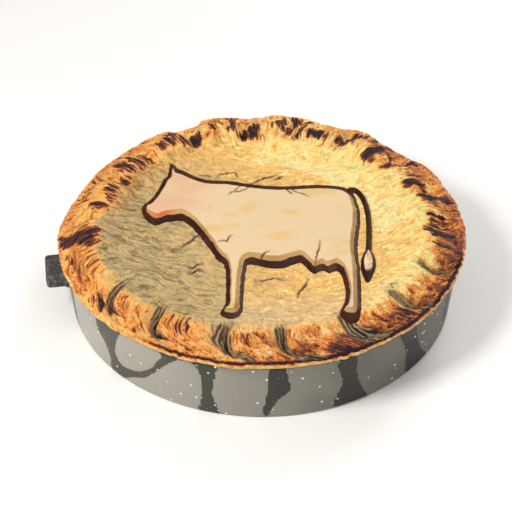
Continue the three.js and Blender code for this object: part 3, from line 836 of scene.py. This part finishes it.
def makeCow():
    piece, p, normal, wall, shoulder, foot = cutOutPiece("cutOutCow", "cow", "pale_pastry", cowOutline(), cow)
    x, y, h = p.T
    ragged = 0.22 * noise(x / 1.7, y / 1.7) + 0.25 * noise(x / 4.5, y / 4.5 + 8)
    onFoot = smooth(ragged - insideDistance(x, y, wall[::2]), -0.1, 0.3)
    # the side band, which the material paints a darker tan, partly as painted shade
    onSide = smooth(ragged * 0.8 - insideDistance(x, y, shoulder[::2]), 0.1, 0.4) * (1 - onFoot)
    crack = cracksAt(x, y, cowCracks, cow["cracks"]) * ((normal[:, 2] > 0.2) & (h > cutOut["footTop"]))
    dough = fractal(x / 9, y / 9, 3, 12) + 0.5 * fractal(x / 2.6, y / 2.6, 2, 44)
    moved = p + normal * (cow["doughHeight"] * dough * smooth(h, 0.2, 1.5))[:, None]
    moved[:, 0] += 0.25 * noise(x / 2.4, y / 2.4 + 3) * onFoot
    moved[:, 1] += 0.3 * noise(x / 2.4 + 9, y / 2.4) * onFoot
    moved[:, 2] -= cow["crackDepth"] * crack
    layOnLid(piece, moved, x, y)
    setMasks(
        piece, foot=onFoot, side=onSide, crack=crack, head=fade(x - 0.35 * (y - 30), -62, -18),
        chin=hump(x + 66, 9) * hump(y - 8, 9), hoof=smooth(-y, 62, 76) * smooth(x, 30, 40))
    return piece, foot


def makeTail():
    piece, p, normal, wall, _, foot = cutOutPiece("cutOutTail", "tail", "dark_pastry", tailOutline(), tail)
    x, y, h = p.T
    tuft = smooth(insideDistance(x, y, wall), 0.75, 1.45) * smooth(h, 1.2, 1.8)
    dough = tail["doughHeight"] * fractal(x / 1.8, y / 4, 2, 6)
    layOnLid(piece, p + normal * dough[:, None], x, y)
    setMasks(piece, tuft=tuft * fade(y, -22, -18) * smooth(y, -52, -46))
    return piece, foot


def cowMaterial():
    material, n = newMaterial("palePastry")
    grain = n.group("grain", Crumb_Size=0.0024, Roughness_Of_Crumb=0.5)
    patches = n.stretched(n.place(), (45, 75, 60), Roughness=0.5)
    top = n.blend(n.span(patches, 0.5, 0.72), "#dec49e", "#dbb97e")
    top = n.blend(n.mask("head") * n.span(patches, 0.3, 0.6, 0.35, 0.85), top, "#d9ae8f")
    top = n.blend(n.mask("hoof"), top, "#d2bda8")
    top = n.blend(n.math("ABSOLUTE", grain["Tone"] * 0.5), top, "#caa372")
    # the sides are a darker tan: partly their own baked colour, partly painted shade; their band is widest on
    # the right and near sides
    side = n.blend(n.span(patches, 0.35, 0.65), "#c8a26a", "#b08650")
    shade = n.blend(n.mask("side"), top, n.blend(n.mask("chin"), side, "#d2703a"))
    shade = n.blend(n.mask("crack"), shade, "#6e4028")
    footTone = n.blend(n.span(grain["Tone"], -0.12, 0.15), "#2c120a", "#482113")
    n.finish(
        Base_Color=n.blend(n.mask("foot"), shade, footTone),
        Roughness=n.span(n.mask("foot"), 0, 1, 0.62, 0.5),
        Normal=n.bump(grain["Height"], 0.3, 0.0005), Specular_IOR_Level=0.18)
    return material


def tailMaterial():
    material, n = newMaterial("darkPastry")
    grain = n.group("grain", Crumb_Size=0.0016, Roughness_Of_Crumb=0.55)
    uneven = n.span(grain["Tone"], -0.1, 0.15)
    pale, strand = n.blend(uneven, "#ead0ac", "#bf9562"), n.blend(uneven, "#281009", "#452012")
    n.finish(
        Base_Color=n.blend(n.mask("tuft"), strand, pale), Roughness=0.55,
        Normal=n.bump(grain["Height"], 0.35, 0.0005), Specular_IOR_Level=0.18)
    return material


# the glaze lies in pale pools with dark runs between them, as closed outlines of bearing and height
glazePools = [
    [(204, 50), (217.2, 50), (217.6, 33), (219.2, 27), (220.6, 23), (222, 15), (221.9, 4), (221.8, -6),
     (203, -6), (201, 20)],
    [(225.2, 25), (225.3, 18), (227.2, 13.2), (230.8, 14.2), (234.3, 17.4), (238.4, 25.4), (240.7, 33.7),
     (242.3, 42), (236, 49), (229.5, 44), (226.6, 34)],
    [(227.6, 2), (231.8, 8.6), (235.6, 13.3), (238.7, 20.6), (241.5, 28), (244.4, 36), (248, 42.4),
     (251.3, 42), (253, 37), (253.6, 30), (253.6, 22), (253.2, 11), (252.4, 2), (252, -8), (240, -14),
     (229, -8)],
    [(259, 50), (257.9, 38), (257, 29), (256.6, 19), (257, 12), (258.4, 3), (259, -6), (270, -6),
     (270.4, 8), (271.2, 17), (271.4, 30), (271, 50)],
    [(276.5, 50), (276.7, 38), (277.7, 26), (276.6, 21), (274.6, 16.5), (273, 9), (271.8, 1), (272, -6),
     (290, -6), (290.3, 5), (291.5, 15), (292.3, 22), (291.6, 30), (290.5, 38), (290.3, 50)],
    [(295.8, 50), (296.2, 35), (296.8, 25), (297.7, 18), (299, 11.5), (301, 2), (302, -6), (316, -6),
     (315.2, 5), (314.3, 14), (314, 23), (312.4, 32), (310.2, 42), (309, 50)],
    [(316.2, 50), (317.6, 36), (319, 27), (320.6, 19), (322.7, 11), (325.5, 3), (327, -6), (337, -6),
     (335, 14), (334, 30), (336, 50)],
]
# the pools on the far side are all of one kind
glaze = {
    "edge": 0.35, "roughEdge": 0.45, "farFrom": 349, "farCount": 10, "farStep": 21.3, "farHalf": 7.6,
    "farSway": 1.6, "farHeights": (50, 36, 22, 8, -6),
}
lug = {
    "bearing": 188.5, "reach": 143.5, "width": 25, "thickness": 11, "top": 34, "corner": 3.4,
    "endRound": 2.2, "endBulge": 0.25, "flare": 0.96, "rootGap": 0.2, "castHeight": 0.16,
}


def makeDish():
    corner, innerCorner, outerRound, innerRound = (
        dish[key] for key in ("corner", "innerCorner", "outerRound", "innerRound"))
    foot, rim, rimHeight = dish["footRadius"], dish["rimRadius"], dish["height"]
    quarter, climb = np.linspace(0, math.pi / 2, 6), np.linspace(0, 1, 44)[1:]
    sine, cosine = np.sin(quarter), np.cos(quarter)
    profile = np.hstack([
        [(40, 90, 122), (0, 0, 0)],
        [foot - corner * (1 - sine), corner * (1 - cosine)],
        [mix(foot, rim, climb), mix(corner, rimHeight - outerRound, climb)],
        [rim - outerRound * (1 - cosine[1:]), rimHeight - outerRound * (1 - sine[1:])],
        [rim - dish["wall"] + innerRound * (1 - sine), rimHeight - innerRound * (1 - cosine)],
        [foot - dish["wall"] - innerCorner * (1 - cosine), dish["floor"] + innerCorner * (1 - sine)],
        [(90, 40), (dish["floor"], dish["floor"])],
    ]).T
    angles = np.arange(dish["sides"]) * 2 * math.pi / dish["sides"]
    points = np.vstack([*(ringAt(r, z, angles) for r, z in profile), [[0, 0, 0], [0, 0, dish["floor"]]]])
    faces = shellFaces(len(profile), dish["sides"], True)
    piece = meshPiece("stonewareDish", points, faces, "stoneware", "dish")

    # where the glaze is dark: outside of every pool
    x, y, z = points.T
    outside = np.nonzero((np.hypot(x, y) > foot - corner) & (z < rimHeight - 0.5))[0]
    bearing, height = np.degrees(np.arctan2(y[outside], x[outside])) % 360, z[outside]
    pools = list(glazePools)
    for k in range(glaze["farCount"]):
        middle, sway = glaze["farFrom"] + k * glaze["farStep"], glaze["farSway"] * hashAt(k, np.arange(8.0))
        left, right = (
            [(middle + half + sway[first + j % 4], up) for j, up in enumerate(glaze["farHeights"])]
            for half, first in ((-glaze["farHalf"], 0), (glaze["farHalf"], 4)))
        pools.append(left + right[::-1])
    arc = math.radians(1) * rim
    inPool = np.full(bearing.shape, -99.0)
    for pool in pools:
        outline = throughPoints([*pool, pool[0]], 6)[:-1]
        middle = outline[:, 0].mean()
        run = turned(bearing, middle) * arc
        close = np.abs(run) < 50
        away = insideDistance(run[close], height[close], (outline - [middle, 0]) * [arc, 1])
        inPool[close] = np.maximum(inPool[close], away)
    rough = noise(bearing * 2.2, height / 1.1) * smooth(noise(bearing / 4, height / 9), -0.2, 0.4)
    dark = np.zeros(len(points))
    dark[outside] = fade(inPool + glaze["roughEdge"] * rough, -glaze["edge"], glaze["edge"])
    setMasks(piece, dark=dark)
    return piece


def dishMaterial():
    material, n = newMaterial("speckledGlaze")
    place = n.place()
    cloud, fine = n.noise(place, 28, Detail=3), n.noise(place, 900, Detail=2)
    # painted shade: the glaze darkens from left to right, pools and runs alike
    paintedShadeToRight = n.span(n.wire(n.add("SeparateXYZ", Vector=place)), -0.1, 0.13)
    light = n.blend(paintedShadeToRight, "#a29f96", "#3f3d30")
    light = n.blend(n.span(cloud, 0.35, 0.65, 0, 0.3), light, "#948f82")
    run = n.blend(paintedShadeToRight, "#413f36", "#080704")
    body = n.blend(n.span(n.mask("dark") + (fine - 0.5) * 0.7, 0.3, 0.7), light, run)
    for spacing, size, share, strength, tint in (
        (0.0031, 0.1, 0.35, 0.5, "#d5d3cb"), (0.0058, 0.125, 0.6, 1, "#f6f5f1"),
    ):
        specks = n.group("specks", Spacing=spacing, Size=size, Share=share)["Mask"]
        body = n.blend(specks * strength, body, tint)
    n.finish(
        Base_Color=body, Roughness=n.span(cloud, 0.3, 0.7, 0.34, 0.46),
        Normal=n.bump(cloud + fine * 0.08, 0.25, 0.0012), Specular_IOR_Level=0.3, Coat_Weight=0.08,
        Coat_Roughness=0.25)
    return material


def roundedSection(halfWidth, halfHeight, corner):
    turns = [np.linspace(0, math.pi / 2, 8) + k * math.pi / 2 for k in range(4)]
    signs, straight = ((1, 1), (-1, 1), (-1, -1), (1, -1)), [halfWidth - corner, halfHeight - corner]
    return np.vstack([
        np.column_stack([corner * np.cos(t), corner * np.sin(t)]) + np.multiply(sign, straight)
        for t, sign in zip(turns, signs)
    ])


def makeLug():
    halfWidth, halfHeight, endRound = lug["width"] / 2, lug["thickness"] / 2, lug["endRound"]
    lean, middle = (dish["rimRadius"] - dish["footRadius"]) / dish["height"], lug["top"] - halfHeight
    wallRadius = dish["footRadius"] + lean * middle
    length = lug["reach"] - wallRadius
    turnIn = 1 - np.sin(np.linspace(0.25, 1, 5) * math.pi / 2)
    rings = []
    for s in np.concatenate([np.linspace(0, length - endRound, 16), length - endRound * turnIn]):
        past = np.clip((s - length + endRound) / endRound, 0, 1)
        inset = endRound * (1 - math.sqrt(1 - past ** 2)) - lug["flare"] * fade(s, 0, 3.2)
        section = roundedSection(halfWidth - inset, halfHeight - inset, max(lug["corner"] - inset * 0.5, 0.8))
        rings.append(np.column_stack([np.full(len(section), s), section]))
    end = rings[-1]
    for share in (0.8, 0.55, 0.3, 0.1):
        rings.append(end * [1, share, share] + [lug["endBulge"] * (1 - share), 0, 0])
    s, across, up = np.vstack([*rings, [[0, 0, 0], [length + lug["endBulge"], 0, 0]]]).T
    root = np.sqrt(wallRadius ** 2 - across ** 2)
    out = root + lug["rootGap"] + s * (lug["reach"] - lug["endBulge"] - root) / length
    out += up * lean * fade(s, 0, 6)
    cast = lug["castHeight"] * fractal(across / 1.5 + s / 1.3, up / 1.5 + s, 3, 4) * smooth(s, 0.5, 3)
    out, across = np.minimum(out + 0.4 * cast, lug["reach"]), across + cast
    a = math.radians(lug["bearing"])
    x, y = out * math.cos(a) - across * math.sin(a), out * math.sin(a) + across * math.cos(a)
    points = np.column_stack([x, y, middle + up + 0.6 * cast])
    return meshPiece("castLug", points, shellFaces(len(rings), len(end), True), "lug", "handle")


def lugMaterial():
    material, n = newMaterial("darkStoneware")
    cloud = n.noise(n.place(), 420, Detail=4, Roughness=0.7)
    body = n.ramp(cloud, {0.3: "#262525", 0.5: "#434140", 0.72: "#6b6865"})
    specks = n.group("specks", Spacing=0.0014, Size=0.3, Share=0.24)["Mask"]
    n.finish(
        Base_Color=n.blend(specks * 0.6, body, "#a7a29d"), Roughness=0.6, Normal=n.bump(cloud, 0.55, 0.0006))
    return material


studio = {
    "elevation": 38.8, "distance": 955, "lens": 100, "target": (-3.48, 0, 24.7),
    "floorColour": "#fbfbfb", "floorHalf": 3000, "worldStrength": 0.34, "lightsAimAt": (0, 0, 30),
    # each light: where it stands in millimetres, its size, power and colour
    "lights": {
        "key": ((-560, -420, 760), 260, 7.5, "#fffaf2"),
        "fill": ((500, -800, 700), 700, 2.5, "#ffffff"),
        "back": ((480, 700, 700), 420, 5.2, "#fff8ee"),
    },
}


def makeStudio():
    scene = bpy.context.scene
    scene.view_settings.view_transform = "Standard"
    world = bpy.data.worlds.new("paleRoom")
    world.use_nodes = True
    sky = world.node_tree.nodes["Background"]
    Nodes(world.node_tree).fill(sky, Color="#ffffff", Strength=studio["worldStrength"])
    scene.world = world
    half = studio["floorHalf"] * mm
    sheet = bpy.data.meshes.new("studioFloor")
    corners = [(-half, -half, 0), (half, -half, 0), (half, half, 0), (-half, half, 0)]
    sheet.from_pydata(corners, [], [(0, 1, 2, 3)])
    floor = placed("studioFloor", sheet)
    paper, n = newMaterial("studioPaper")
    n.finish(Base_Color=studio["floorColour"], Roughness=0.9)
    sheet.materials.append(paper)
    for name, (place, size, power, tint) in studio["lights"].items():
        lamp = bpy.data.lights.new(name, "AREA")
        lamp.size, lamp.energy, lamp.color = size * mm, power, colour(tint)[:3]
        light = placed(name, lamp)
        light.location = [v * mm for v in place]
        aim = Vector(studio["lightsAimAt"]) - Vector(place)
        light.rotation_euler = aim.to_track_quat("-Z", "Y").to_euler()
    tilt = math.radians(studio["elevation"])
    back = np.array([0, -math.cos(tilt), math.sin(tilt)])
    lens = bpy.data.cameras.new("photoView")
    lens.lens, lens.sensor_width = studio["lens"], 36
    lens.clip_start, lens.clip_end = 0.05, 20
    camera = placed("photoView", lens)
    camera.location = (np.array(studio["target"]) + back * studio["distance"]) * mm
    camera.rotation_euler = (math.pi / 2 - tilt, 0, 0)
    scene.camera = camera


makeStudio()
print("stage: studio ready")
cowPiece, cowFoot = makeCow()
tailPiece, tailFoot = makeTail()
print("stage: cow and tail laid on the lid")
crustPiece = makeCrust(cowFoot[::2], tailFoot)
print("stage: crust pinched and baked")
dishPiece, lugPiece = makeDish(), makeLug()
print("stage: dish and lug made")
for piece, material in (
    (cowPiece, cowMaterial()), (tailPiece, tailMaterial()), (crustPiece, crustMaterial()),
    (dishPiece, dishMaterial()), (lugPiece, lugMaterial()),
):
    piece.data.materials.clear()
    piece.data.materials.append(material)
print("stage: materials on")
